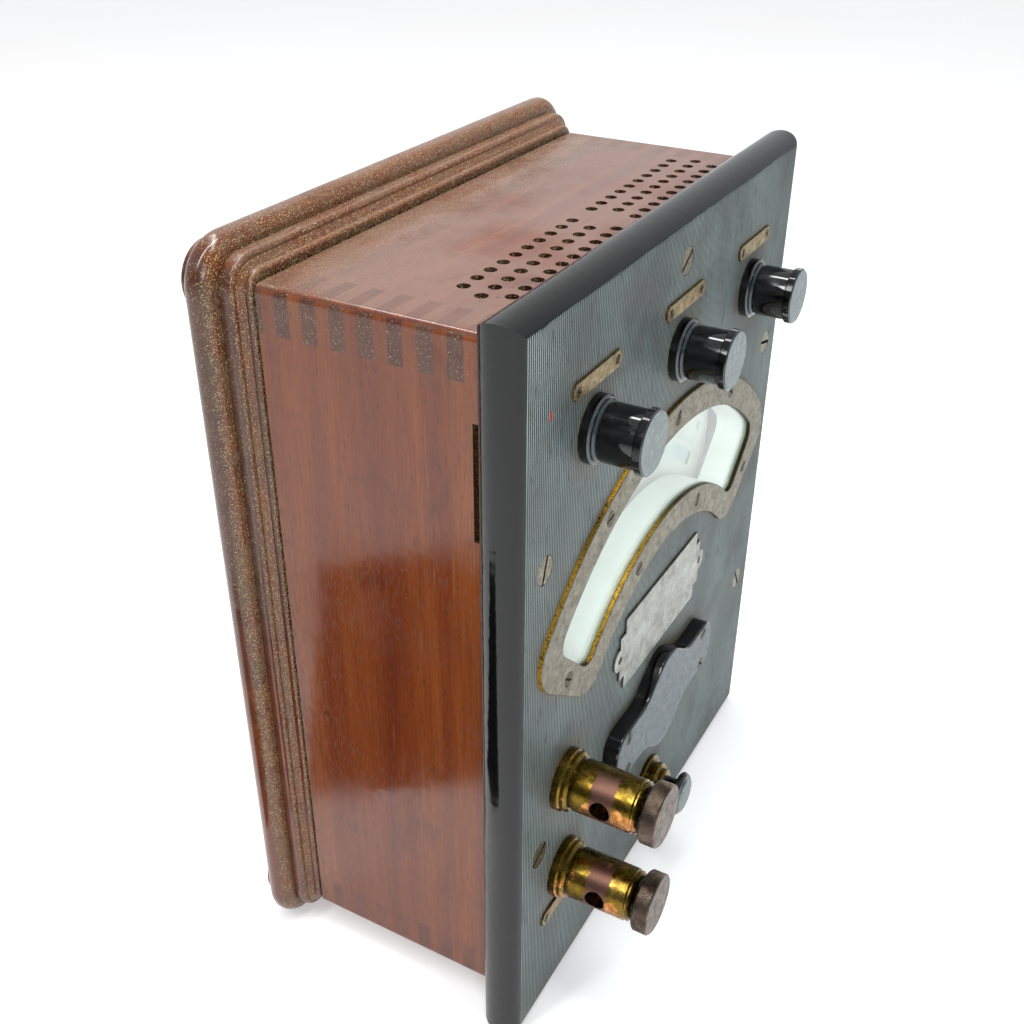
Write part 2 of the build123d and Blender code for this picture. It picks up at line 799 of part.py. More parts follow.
def coil_plane(side, start):
    """A plane square to X on one side of the staff, start mm from it, looking outwards."""
    return Plane(
        origin=(side * start, front_y + coil_depth, pivot_z), x_dir=(0, side, 0), z_dir=(side, 0, 0)
    )


cheek_inner, cheek_outer, cheek_thickness = 13.0, 21.8, 1.2
tube_bore, tube_radius, coil_radius = 6.0, 7.4, 15.5
winding = cheek_outer - cheek_inner - cheek_thickness
with BuildPart() as coil_formers:
    for side in (-1, 1):
        for start in (cheek_inner, cheek_outer):
            with BuildSketch(coil_plane(side, start)):
                RectangleRounded(36.0, 34.0, 3.0)
                Circle(tube_bore, mode=Mode.SUBTRACT)
            extrude(amount=cheek_thickness)
        with BuildSketch(coil_plane(side, cheek_inner + cheek_thickness)):
            Circle(tube_radius)
            Circle(tube_bore, mode=Mode.SUBTRACT)
        extrude(amount=winding)
save(coil_formers.part, "coil_formers")

with BuildPart() as field_coils:
    for side in (-1, 1):
        with BuildSketch(coil_plane(side, cheek_inner + cheek_thickness)):
            Circle(coil_radius)
            Circle(tube_radius, mode=Mode.SUBTRACT)
        extrude(amount=winding)
save(field_coils.part, "field_coils")

# Two brass bridges on four pillars carry the staff and hold the coil formers between them.
bridge_front, bridge_back, bridge_thickness = 22.0, 62.0, 2.0
pillar_places = [(sx * 34.0, pivot_z + dz) for sx in (-1, 1) for dz in (18.0, -14.0)]
pillar_radius = 2.5
with BuildPart() as front_bridge:
    with BuildSketch(facing(bridge_front)):
        with Locations((0, pivot_z + 2.0)):
            RectangleRounded(78.0, 42.0, 4.0)
        with Locations((0, pivot_z)):
            Circle(staff_radius + running, mode=Mode.SUBTRACT)
        with Locations(*pillar_places):
            Circle(pillar_radius, mode=Mode.SUBTRACT)
    extrude(amount=-bridge_thickness)
save(front_bridge.part, "front_bridge")

with BuildPart() as rear_bridge:
    with BuildSketch(facing(bridge_back)):
        with Locations((0, pivot_z + 2.0)):
            RectangleRounded(78.0, 42.0, 4.0)
        with Locations((0, pivot_z - 30.0)):
            RectangleRounded(72.0, 32.0, 4.0)
        with Locations((0, pivot_z)):
            Circle(2.5, mode=Mode.SUBTRACT)
        with Locations(*pillar_places):
            Circle(pillar_radius, mode=Mode.SUBTRACT)
    extrude(amount=-bridge_thickness)
save(rear_bridge.part, "rear_bridge")

with BuildPart() as jewel_screw:
    add(
        turned(
            0,
            pivot_z,
            [(0, 63.6), (0.4, 63.5), (0.9, 62.2), (2.5, 62.2), (2.5, 66.0), (4.0, 66.0),
             (4.0, 68.5), (0, 68.5)],
        )
    )
save(jewel_screw.part, "jewel_screw")

with BuildPart() as movement_pillars:
    for bx, bz in pillar_places:
        add(
            turned(
                bx,
                bz,
                [(0, panel_thickness), (4.0, panel_thickness), (4.0, bridge_front),
                 (pillar_radius, bridge_front), (pillar_radius, bridge_front + 2.0),
                 (4.0, bridge_front + 2.0), (4.0, bridge_back), (pillar_radius, bridge_back),
                 (pillar_radius, bridge_back + 2.0), (4.0, bridge_back + 2.0),
                 (4.0, bridge_back + 4.5), (0, bridge_back + 4.5)],
            )
        )
save(movement_pillars.part, "movement_pillars")

# The damping box is a shallow curved tray, open towards the staff, where the vane swings.
box_inner, box_outer, box_front = 29.5, 42.0, 51.0
with BuildPart() as damping_box:
    with BuildSketch(facing(box_front)):
        with BuildLine():
            CenterArc((0, pivot_z), box_outer, 270 - 56, 112)
            Line(polar(box_outer, 180 - 56), polar(box_inner, 180 - 56))
            CenterArc((0, pivot_z), box_inner, 270 - 56, 112)
            Line(polar(box_inner, 180 + 56), polar(box_outer, 180 + 56))
        make_face()
    extrude(amount=-(bridge_back - box_front))
    with BuildSketch(facing(box_front + 1.0)):
        with BuildLine():
            CenterArc((0, pivot_z), box_outer - 1.0, 270 - 54, 108)
            Line(polar(box_outer - 1.0, 180 - 54), polar(box_inner - 1.0, 180 - 54))
            CenterArc((0, pivot_z), box_inner - 1.0, 270 - 54, 108)
            Line(polar(box_inner - 1.0, 180 + 54), polar(box_outer - 1.0, 180 + 54))
        make_face()
    extrude(amount=-(bridge_back - box_front - 1.6), mode=Mode.SUBTRACT)
save(damping_box.part, "damping_box")

# ---- Series resistances behind the vents --------------------------------------------------
bobbin_rows = [(222.0, 38.0), (206.0, 66.0)]      # height and depth of each rod
bobbin_x = (-54.0, 0.0, 54.0)
rod_radius = 2.0
with BuildPart() as bobbin_rods:
    for bz, depth in bobbin_rows:
        with Locations((0, front_y + depth, bz)):
            Cylinder(rod_radius, 2 * (case_half_width - wall) - 4.0, rotation=(0, 90, 0))
save(bobbin_rods.part, "bobbin_rods")

with BuildPart() as rod_brackets:
    for side in (-1, 1):
        for bz, depth in bobbin_rows:
            with Locations((side * (case_half_width - wall - 1.0), front_y + depth, bz)):
                Box(2.0, 16.0, 14.0)
save(rod_brackets.part, "rod_brackets")

with BuildPart() as bobbin_formers:
    for bz, depth in bobbin_rows:
        for bx in bobbin_x:
            with Locations((bx, front_y + depth, bz)):
                Cylinder(5.0, 46.0, rotation=(0, 90, 0))
            for end in (-1, 1):
                with Locations((bx + end * 22.0, front_y + depth, bz)):
                    Cylinder(9.0, 2.0, rotation=(0, 90, 0))
            with Locations((bx, front_y + depth, bz)):
                Cylinder(rod_radius, 60.0, rotation=(0, 90, 0), mode=Mode.SUBTRACT)
save(bobbin_formers.part, "bobbin_formers")

with BuildPart() as bobbin_windings:
    for bz, depth in bobbin_rows:
        for bx in bobbin_x:
            with BuildSketch(
                Plane(origin=(bx - 21.0, front_y + depth, bz), x_dir=(0, 1, 0), z_dir=(1, 0, 0))
            ):
                Circle(7.8)
                Circle(5.0, mode=Mode.SUBTRACT)
            extrude(amount=42.0)
save(bobbin_windings.part, "bobbin_windings")


# ---- Wiring -------------------------------------------------------------------------------
def lead(points, radius, bend):
    """A round insulated wire through points given as (x, depth, z)."""
    with BuildPart() as wire:
        with BuildLine() as route:
            FilletPolyline(*[(x, front_y + depth, z) for x, depth, z in points], radius=bend)
        with BuildSketch(Plane(origin=route.line @ 0, z_dir=route.line % 0)):
            Circle(radius)
        sweep()
    return wire.part


with BuildPart() as voltage_leads:
    for tx, cheek_x in zip(terminal_x, (-76.0, 22.0, 76.0)):
        add(
            lead(
                [(tx, 19.7, 206.5), (tx, 28.0, 206.5), (tx, 28.0, 213.5), (cheek_x, 28.0, 213.5),
                 (cheek_x, 33.2, 213.5)],
                0.8,
                2.4,
            )
        )
save(voltage_leads.part, "voltage_leads")

lead_radius = 1.6
with BuildPart() as current_leads:
    for pz, target_z in zip(post_z, (80.0, 68.0)):
        level = panel_thickness + 8.7 + lead_radius
        add(
            lead(
                [(post_x + 16.0, level, pz), (-46.0, level, pz), (-46.0, 38.0, pz),
                 (-46.0, 38.0, target_z), (-cheek_outer - cheek_thickness, 38.0, target_z)],
                lead_radius,
                5.0,
            )
        )
save(current_leads.part, "current_leads")
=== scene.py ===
# %% [markdown]
# # A portable laboratory test meter
# The solid parts of this instrument are already made: a mahogany case on a moulded plinth, an
# ebonite panel, terminals, posts, a scale window and a movement behind it. This lesson gives them
# their finishes, adds the fine things that are too small for the solid model, and lights them.
# The instrument stands on its end with its panel towards -Y. Blender works in metres, so a length in
# millimetres is multiplied by MM where a mesh or an object takes it.

# %% Load the frame
import bpy
from math import cos, pi, radians, sin
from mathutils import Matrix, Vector


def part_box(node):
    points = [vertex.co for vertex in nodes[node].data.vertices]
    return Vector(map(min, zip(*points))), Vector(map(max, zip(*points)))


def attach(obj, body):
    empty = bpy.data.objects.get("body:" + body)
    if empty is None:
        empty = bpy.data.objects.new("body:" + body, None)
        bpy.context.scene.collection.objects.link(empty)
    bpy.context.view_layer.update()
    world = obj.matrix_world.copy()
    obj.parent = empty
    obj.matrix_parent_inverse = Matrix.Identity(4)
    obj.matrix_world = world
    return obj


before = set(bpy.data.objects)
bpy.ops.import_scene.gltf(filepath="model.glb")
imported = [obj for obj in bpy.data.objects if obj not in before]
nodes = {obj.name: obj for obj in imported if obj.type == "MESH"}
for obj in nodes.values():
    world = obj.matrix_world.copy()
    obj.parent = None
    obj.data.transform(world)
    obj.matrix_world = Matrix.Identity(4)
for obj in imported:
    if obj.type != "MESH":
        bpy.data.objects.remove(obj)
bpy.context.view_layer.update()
MM = 0.001
print("pieces in the frame:", len(nodes))

# %% [markdown]
# ## Colours and nodes
# A hex colour is written for the screen, while a shader works in linear light, so one function
# turns the first into the second. Another adds one node to a material: plain values fill the
# node's inputs in order, named ones set an input or an option, and it hands back the output (or the
# node itself, if it is an end), so that a pattern reads as a chain.

# %% Colour and node helpers
def linear(hex_colour):
    parts = [int(hex_colour[k:k + 2], 16) / 255 for k in (1, 3, 5)]
    return tuple(c / 12.92 if c <= 0.04045 else ((c + 0.055) / 1.055) ** 2.4 for c in parts) + (1,)


def add(tree, kind, *values, out=0, stops=(), **named):
    node = tree.nodes.new("ShaderNode" + kind)
    for name in [n for n in named if hasattr(node, n)]:
        setattr(node, name, named.pop(name))
    for k, (place, colour) in enumerate(stops):
        ramp = node.color_ramp.elements
        stop = ramp[k] if k < len(ramp) else ramp.new(place)
        stop.position = place
        stop.color = linear(colour)
    sockets = [s for s in node.inputs if s.enabled]
    pairs = list(zip(sockets, values)) + [(node.inputs[n], v) for n, v in named.items()]
    for socket, value in pairs:
        if isinstance(value, bpy.types.NodeSocket):
            tree.links.new(value, socket)
        else:
            socket.default_value = linear(value) if isinstance(value, str) else value
    outputs = [s for s in node.outputs if s.enabled]
    return outputs[out] if outputs else node


# %% [markdown]
# ## Starting a finish
# Every finish starts the same way: an empty material with one Principled shader, the place of each
# point in millimetres (so a pattern's scale is one over a real size), and the way the surface
# faces. The hollows mask compares how much of the room each point sees: it is 1 deep in a corner
# and 0 in the open. Grime gathers there and wiping doesn't reach it, but shade falls there too, so
# a finish that paints its hollows darker paints shade as well as grime.

# %% Start a finish
class Finish:
    """A material being built: its tree, its surface, the place in mm and the way it faces."""

    def __init__(self, name, **sockets):
        self.material = bpy.data.materials.new(name)
        self.material.use_nodes = True
        self.tree = self.material.node_tree
        self.tree.nodes.clear()
        fixed = {socket.replace("_", " "): value for socket, value in sockets.items()}
        self.surface = self.add("BsdfPrincipled", **fixed)
        self.end = self.add("OutputMaterial", self.surface)
        self.mm = self.add("Mapping", self.add("TexCoord", out=3), Scale=(1000, 1000, 1000))
        self.x, self.y, self.z = (self.add("SeparateXYZ", self.mm, out=k) for k in range(3))
        facing = self.add("TexCoord", out=1)
        self.face_x, self.face_y, self.face_z = (
            self.add("SeparateXYZ", facing, out=k) for k in range(3))

    def add(self, kind, *values, **named):
        return add(self.tree, kind, *values, **named)

    def give(self, **links):
        for socket, source in links.items():
            self.tree.links.new(source, self.surface.node.inputs[socket.replace("_", " ")])


# %% [markdown]
# ## Masks and layers
# A finish is layers laid one over another through masks between 0 and 1. `step` is a soft
# threshold, `blotches` is a noise of a real size cut by one, `drawn` stretches a pattern along the
# fibre or the cut, and `paint` lays a colour wherever all its masks agree.

# %% Masks and layers
def step(f, value, low, high, most=1.0):
    """0 at low, most at high, whichever of them is larger."""
    return f.add("MapRange", value, low, high, 0.0, most, interpolation_type="SMOOTHSTEP")


def blotches(f, size, low, high, most=1.0, place=None, detail=3.0, warp=0.0):
    """Patches of about size mm where noise passes from low to high."""
    noise = f.add("TexNoise", place or f.mm, 1 / size, detail, Distortion=warp)
    return step(f, noise, low, high, most)


def drawn(f, along, by):
    """The place, squeezed along one axis, so that a pattern is drawn out along it."""
    return f.add("Mapping", f.mm, Scale=[1 / by if axis == along else 1.0 for axis in "XYZ"])


def both(f, *masks):
    result = masks[0]
    for mask in masks[1:]:
        result = f.add("Math", result, mask, operation="MULTIPLY")
    return result


def either(f, *masks):
    result = masks[0]
    for mask in masks[1:]:
        result = f.add("Math", result, mask, operation="MAXIMUM")
    return result


def paint(f, under, over, *masks):
    return f.add("Mix", both(f, *masks), under, over, data_type="RGBA")


def hollows(f, reach):
    """1 in corners tighter than reach mm, 0 in the open."""
    seen = f.add("AmbientOcclusion", Distance=reach * MM, out=1, samples=6)
    return step(f, seen, 0.86, 0.40)


# %% [markdown]
# ## Dust
# An instrument that lay on its back for years has dust on everything that faced the ceiling then,
# which is -Y here. It is fine pale-gold specks over a thin brown film, thickest in the hollows. The
# specks are about 0.3 mm, a little coarser than real dust so that they show.

# %% Dust
DUST_FILM = "#63523d"
DUST_SPECK = "#b3a273"


def dusty(f, colour, roughness, amount, film=0.55, speck=0.85):
    """Lays dust over a colour where amount (0 to 1) says; returns the new colour and roughness."""
    # the more dust there is, the lower the bar that a grain has to clear
    grit = f.add("TexNoise", f.mm, 1 / 0.40, 2.0)
    bar = f.add("Math", amount, -0.24, 0.76, operation="MULTIPLY_ADD")
    over_bar = f.add("Math", grit, bar, operation="SUBTRACT")
    specks = both(f, step(f, over_bar, 0.0, 0.04), step(f, amount, 0.04, 0.14), speck)
    veil = both(f, amount, blotches(f, 7.0, 0.30, 0.66, film, detail=5.0))
    colour = paint(f, paint(f, colour, DUST_FILM, veil), DUST_SPECK, specks)
    return colour, either(f, roughness, veil, both(f, specks, 0.7))


# %% [markdown]
# ## French polished mahogany
# The case is Cuban mahogany under many thin coats of shellac. Mahogany has an interlocked grain:
# broad soft red-brown bands, finer fibres inside them, and short dark pores. The fibre runs along
# one axis, so each pattern is drawn out along it, and end grain is wherever the surface faces that
# way. The ends drink more polish and look nearly black at the upper corner, which the light has
# bleached least, while the lower joints hardly show. Shellac is glassy (IOR about 1.5), and a slow
# ripple in the normals keeps its reflections from being perfectly flat.

# %% Mahogany
def mahogany(name, along, dust):
    f = Finish(name, IOR=1.5)
    # bands about 11 mm wide, fibres inside them and short pores
    fibre = drawn(f, along, 24.0)
    figure = f.add("TexNoise", fibre, 1 / 11.0, 4.0, Distortion=0.4)
    wood = f.add("ValToRGB", figure, stops=[
        (0.30, "#5a260f"), (0.46, "#693013"), (0.60, "#743a18"), (0.78, "#81441e")])
    wood = paint(f, wood, "#541f0d", blotches(f, 0.8, 0.35, 0.70, 0.35, fibre))
    pores = blotches(f, 0.32, 0.60, 0.68, 1.0, drawn(f, along, 16.0), 1.0)
    wood = paint(f, wood, "#32130a", pores, 0.55)
    # the polish is hazy where it faces up
    hazy = both(f, step(f, f.face_z, 0.80, 0.95), blotches(f, 30.0, 0.22, 0.60, 0.36, detail=5.0))
    wood = paint(f, wood, "#8a7a72", hazy)
    # end grain, darkest on the sides of the upper half
    fibre_end = getattr(f, "face_" + along.lower())
    ends = step(f, f.add("Math", fibre_end, operation="ABSOLUTE"), 0.5, 0.8)
    sideways = step(f, f.add("Math", f.face_x, operation="ABSOLUTE"), 0.5, 0.8)
    upper = both(f, sideways, step(f, f.z, 120.0, 150.0))
    strength = f.add("Math", upper, 0.50, 0.30, operation="MULTIPLY_ADD")
    open_pores = f.add("ValToRGB", f.add("TexNoise", f.mm, 1 / 0.5, 2.0), stops=[
        (0.40, "#25100d"), (0.60, "#4b2822")])
    wood = paint(f, wood, open_pores, ends, strength)
    # dark rubs, small bruises and pale hair scratches
    rubbed = blotches(f, 24.0, 0.56, 0.72, 0.30, detail=6.0, warp=0.6)
    wood = paint(f, wood, "#3a170c", rubbed)
    bruise = blotches(f, 5.0, 0.70, 0.76, 0.55, detail=4.0)
    wood = paint(f, wood, "#2c1009", bruise)
    hair = blotches(f, 0.5, 0.76, 0.80, 0.25, drawn(f, "Z", 40.0), 0.0)
    hair = both(f, hair, blotches(f, 30.0, 0.5, 0.62))
    wood = paint(f, wood, "#a06a4c", hair)
    # joints and hollows are painted near black, grime and painted shade where they see little of the
    # room, and what faced the ceiling holds the dust
    corner = hollows(f, 5.0)
    wood = paint(f, wood, "#1d0d09", corner, 0.75)
    lying = step(f, f.face_y, -0.05, -0.65)
    high = both(f, step(f, f.z, 215.0, 262.0), step(f, f.face_z, 0.9, 0.2))
    back = both(f, step(f, f.face_z, 0.6, 0.9), step(f, f.y, 5.0, 46.0))
    moulding = both(f, lying, step(f, f.z, 262.0, 255.0), step(f, f.y, 40.0, 52.0))
    amount = either(f, both(f, lying, dust), both(f, high, dust * 0.8), both(f, back, 0.62))
    amount = either(f, amount, both(f, ends, upper, 0.45), both(f, lying, corner, 0.95),
                    both(f, moulding, 0.7))
    gloss = f.add("Math", blotches(f, 40.0, 0.4, 0.7), 0.12, 0.09, operation="MULTIPLY_ADD")
    colour, roughness = dusty(f, wood, gloss, amount)
    slow = f.add("TexNoise", f.mm, 1 / 16.0, 2.0)
    ripple = f.add("Bump", Height=slow, Distance=0.0004, Strength=0.25)
    grain = f.add("Bump", Height=pores, Distance=0.00003, Strength=0.3, invert=True, Normal=ripple)
    f.give(Base_Color=colour, Roughness=roughness, Normal=grain)
    return f.material


for board, along, dust in (
    ("case_wall_left", "Z", 0.40), ("case_wall_right", "Z", 0.40), ("case_wall_top", "X", 0.40),
    ("case_wall_bottom", "X", 0.40), ("plinth", "X", 0.74), ("plinth_feet", "X", 0.30),
):
    nodes[board].data.materials[0] = mahogany("french_polished_" + board, along, dust)
print("mahogany boards finished")

# %% [markdown]
# ## Ebonite
# Ebonite is hard vulcanised rubber. Fresh, it polishes like black glass (IOR about 1.6). In
# daylight its sulphur comes out and the surface turns grey-green and dull, first where it was cut
# rather than polished. So the panel's rounded edge and the turned knobs are still black, while the
# combed face of the panel has pale crests and dark valleys on its ribs: partly a pale bloom on the
# crests, partly a painted highlight on the crests and painted shade in the valleys.

# %% Ebonite of the panel
PANEL_FACE = -38.5       # mm, where the panel's flat face is along Y
RIB_PITCH = 1.05         # mm


def combed_ebonite(name):
    f = Finish(name, IOR=1.6, Specular_IOR_Level=0.3)
    on_ribs = step(f, f.y, PANEL_FACE - 0.02, PANEL_FACE - 0.05)
    flat = either(f, on_ribs, step(f, f.face_y, -0.93, -0.985))
    across = f.add("Math", f.x, 2 * pi / RIB_PITCH, operation="MULTIPLY")
    # the crests are painted pale and the valleys dark: bloom, and also a painted highlight and painted
    # shade that follow the ribs
    crest = step(f, f.add("Math", across, operation="COSINE"), -0.1, 0.75)
    pale_crest_noise = f.add("TexNoise", drawn(f, "Z", 1.6), 1 / 34.0, 5.0)
    pale = f.add("ValToRGB", pale_crest_noise, stops=[(0.3, "#6c7c79"), (0.52, "#8a9c9a"), (0.75, "#a0b1af")])
    worn = blotches(f, 1.4, 0.12, 0.46, 1.0, drawn(f, "Z", 5.0))
    ribs = paint(f, "#151a19", pale, crest, worn)
    ribs = paint(f, ribs, "#2e3534", blotches(f, 26.0, 0.48, 0.70, 0.45, detail=4.0))
    corner = hollows(f, 15.0)
    ribs = paint(f, ribs, "#5a4a30", corner, blotches(f, 2.4, 0.15, 0.5, 0.95, detail=4.0))
    polished = paint(f, "#040505", "#0c0d0d", blotches(f, 12.0, 0.55, 0.8, detail=5.0))
    colour = paint(f, polished, ribs, flat)
    roughness = f.add("Math", flat, 0.36, 0.10, operation="MULTIPLY_ADD")
    amount = either(f, both(f, flat, 0.26), both(f, corner, flat, 0.50))
    colour, roughness = dusty(f, colour, roughness, amount, 0.35, 0.75)
    slow = f.add("TexNoise", f.mm, 1 / 9.0, 3.0)
    ripple = f.add("Bump", Height=slow, Distance=0.0001, Strength=0.2)
    f.give(Base_Color=colour, Roughness=roughness, Normal=ripple)
    return f.material


# %% [markdown]
# The turned pieces keep their gloss on the round and are scuffed grey on their flat ends, where
# fingers and the bench have rubbed them. The scuffs are warped noise a few millimetres across.

# %% Turned and moulded ebonite
def turned_ebonite(name, scuffed_from=None, ramp=("#66716f", "#788382", "#8a9493")):
    """Black and glassy, with a grey scuffed end where the surface faces -Y beyond scuffed_from."""
    f = Finish(name, IOR=1.6)
    colour = paint(f, "#040405", "#0d0e10", blotches(f, 6.0, 0.5, 0.75, detail=5.0))
    roughness = f.add("Math", blotches(f, 6.0, 0.4, 0.7), 0.08, 0.05, operation="MULTIPLY_ADD")
    # painted reflection: a pale blue-grey is painted in blotches on what faces -Y, such as the
    # shoulder ring of a collar
    painted_shoulder_reflection = both(f, step(f, f.face_y, -0.55, -0.95), blotches(f, 4.0, 0.2, 0.5))
    colour = paint(f, colour, "#5b686d", painted_shoulder_reflection, 0.75)
    roughness = either(f, roughness, both(f, painted_shoulder_reflection, 0.35))
    if scuffed_from is not None:
        beyond = step(f, f.y, scuffed_from + 0.4, scuffed_from)
        end = both(f, step(f, f.face_y, -0.80, -0.97), beyond)
        scuffs = f.add("ValToRGB", f.add("TexNoise", f.mm, 1 / 2.6, 6.0, Distortion=1.2),
                       stops=list(zip((0.30, 0.52, 0.72), ramp)))
        scuffs = paint(f, scuffs, "#2b3133", blotches(f, 3.0, 0.68, 0.73, 0.7, detail=2.0))
        colour = paint(f, colour, scuffs, end)
        roughness = either(f, roughness, both(f, end, 0.48))
    amount = step(f, f.face_y, -0.3, -0.9, 0.16)
    colour, roughness = dusty(f, colour, roughness, amount, 0.3, 0.8)
    lines = f.add("TexNoise", drawn(f, "X", 30.0), 1 / 0.35, 2.0)
    tooling = f.add("Bump", Height=lines, Distance=0.00001, Strength=0.2)
    f.give(Base_Color=colour, Roughness=roughness, Normal=tooling)
    return f.material


panel_finish = combed_ebonite("combed_ebonite")
nodes["panel"].data.materials[0] = panel_finish
HEAD_END = PANEL_FACE - 18.1
KEY_END = PANEL_FACE - 15.0
COVER_TOP = PANEL_FACE - 5.6
head_ebonite = turned_ebonite("turned_ebonite_heads", HEAD_END)
for k in (1, 2, 3):
    nodes[f"terminal_head_{k}"].data.materials[0] = head_ebonite
nodes["terminal_collars"].data.materials[0] = turned_ebonite("turned_ebonite_collars")
nodes["key_plunger"].data.materials[0] = turned_ebonite("pressed_ebonite_key", KEY_END)
nodes["cover_block"].data.materials[0] = turned_ebonite(
    "moulded_ebonite_cover", COVER_TOP, ("#3d474b", "#566166", "#6d787c"))
for inner in ("bobbin_formers", "coil_formers"):
    nodes[inner].data.materials[0] = turned_ebonite("turned_ebonite_" + inner)
print("ebonite finished")

# %% [markdown]
# ## Lacquered brass
# The current posts were lacquered. The lacquer has gone olive, and where leads rubbed it off the
# bare brass shows copper-pink with crisp edges, mostly on the lower side, and a mauve-brown band of
# tarnish runs round the lead holes. Metals here are metallic at 1 with the default IOR.

# %% Lacquered posts
LEAD_HOLE = 55.1         # mm, how far in front of y = 0 the lead holes run
WANDER = 3.0             # mm, how much the edge of the tarnish wanders


def lacquered_posts(name, band=0.0):
    f = Finish(name, Metallic=1.0)
    lacquer = f.add("ValToRGB", f.add("TexNoise", f.mm, 1 / 7.0, 4.0), stops=[
        (0.30, "#594716"), (0.52, "#786126"), (0.72, "#8f783c")])
    bare = f.add("ValToRGB", f.add("TexNoise", f.mm, 1 / 2.2, 5.0), stops=[
        (0.32, "#7a4c24"), (0.52, "#b37a42"), (0.74, "#dba569")])
    patches = f.add("TexNoise", f.mm, 1 / 8.5, 3.0)
    lean = f.add("Math", f.face_z, -0.17, patches, operation="MULTIPLY_ADD")
    rubbed = step(f, lean, 0.505, 0.535)
    colour = paint(f, lacquer, bare, rubbed)
    worn = blotches(f, 2.0, 0.3, 0.7, detail=5.0)
    roughness = f.add("Math", worn, 0.20, 0.16, operation="MULTIPLY_ADD")
    edge = f.add("TexNoise", f.mm, 1 / 4.0, 3.0)
    uneven = f.add("Math", edge, WANDER, f.y, operation="MULTIPLY_ADD")
    apart = f.add("Math", uneven, LEAD_HOLE - WANDER / 2, operation="ADD")
    apart = f.add("Math", apart, operation="ABSOLUTE")
    tarnish = both(f, step(f, apart, 4.4, 3.6), step(f, f.face_x, 0.35, -0.25), band)
    colour = paint(f, colour, "#6a4b45", tarnish)
    roughness = either(f, roughness, both(f, tarnish, 0.45))
    scratch = blotches(f, 0.5, 0.64, 0.72, 0.7, drawn(f, "X", 7.0), 2.0)
    colour = paint(f, colour, "#3b2a14", scratch)
    corner = hollows(f, 4.0)
    # grime and painted shade: corners that see little of the room are painted nearly black
    colour = paint(f, colour, "#241a0d", corner, 0.8)
    amount = either(f, step(f, f.face_y, -0.2, -0.8, 0.38), both(f, corner, 0.3))
    colour, roughness = dusty(f, colour, roughness, amount, 0.4)
    lines = f.add("TexNoise", drawn(f, "X", 20.0), 1 / 0.4, 1.0)
    lathe = f.add("Bump", Height=lines, Distance=0.00001, Strength=0.3)
    f.give(Base_Color=colour, Roughness=roughness, Normal=lathe)
    return f.material


nodes["current_posts"].data.materials[0] = lacquered_posts("lacquered_brass_posts", 0.9)
nodes["key_collar"].data.materials[0] = lacquered_posts("lacquered_brass_collar")
print("posts and key collar lacquered")

# %% [markdown]
# ## Plates, screws and the works
# The other metals share one recipe and differ in colour, tarnish and how much grime they hold. Each
# is painted darker in its corners, which is grime and painted shade together. The bezel is nickel
# silver over brass: its face is dirty and grained, and its edges carry a painted highlight, bright
# gold where they face -X near the left end and dark brown as painted shade elsewhere. The heads of
# the posts have oxidised to dull brown.

# %% Tarnished metals
def tarnished_metal(name, ramp, blotch, rough, dust=0.3, spots="#2c241a", spot_share=0.3, edge=None):
    """An old metal skin: blotches, dark spots, grime and painted shade in corners, and maybe edges
    with a painted highlight.
    """
    f = Finish(name, Metallic=1.0)
    colour = f.add("ValToRGB", f.add("TexNoise", f.mm, 1 / blotch, 6.0, Distortion=0.6),
                   stops=list(zip((0.3, 0.5, 0.72), ramp)))
    colour = paint(f, colour, spots, blotches(f, blotch * 0.3, 0.60, 0.66, spot_share))
    worn = blotches(f, 1.5, 0.3, 0.7, detail=5.0)
    roughness = f.add("Math", worn, 0.18, rough, operation="MULTIPLY_ADD")
    corner = hollows(f, 2.5)
    # grime and painted shade: corners that see little of the room are painted nearly black
    colour = paint(f, colour, "#20180f", corner, 0.8)
    if edge:
        # painted highlight: edges that face -X near the left end are painted bright gold, the others
        # dark brown as painted shade
        side = step(f, f.add("Math", f.face_y, operation="ABSOLUTE"), 0.55, 0.25)
        painted_gold_highlight = paint(f, edge, "#7a5418", blotches(f, 0.7, 0.52, 0.62))
        edges_lit_and_shaded = paint(f, "#4a3a22", painted_gold_highlight, step(f, f.face_x, 0.15, -0.25), step(f, f.x, 45.0, 15.0))
        colour = paint(f, colour, edges_lit_and_shaded, side)
    amount = either(f, step(f, f.face_y, -0.5, -0.9, dust), both(f, corner, dust))
    colour, roughness = dusty(f, colour, roughness, amount, 0.45)
    fine = f.add("TexNoise", f.mm, 1 / 0.6, 4.0)
    pits = f.add("Bump", Height=fine, Distance=0.00003, Strength=0.35)
    f.give(Base_Color=colour, Roughness=roughness, Normal=pits)
    return f.material
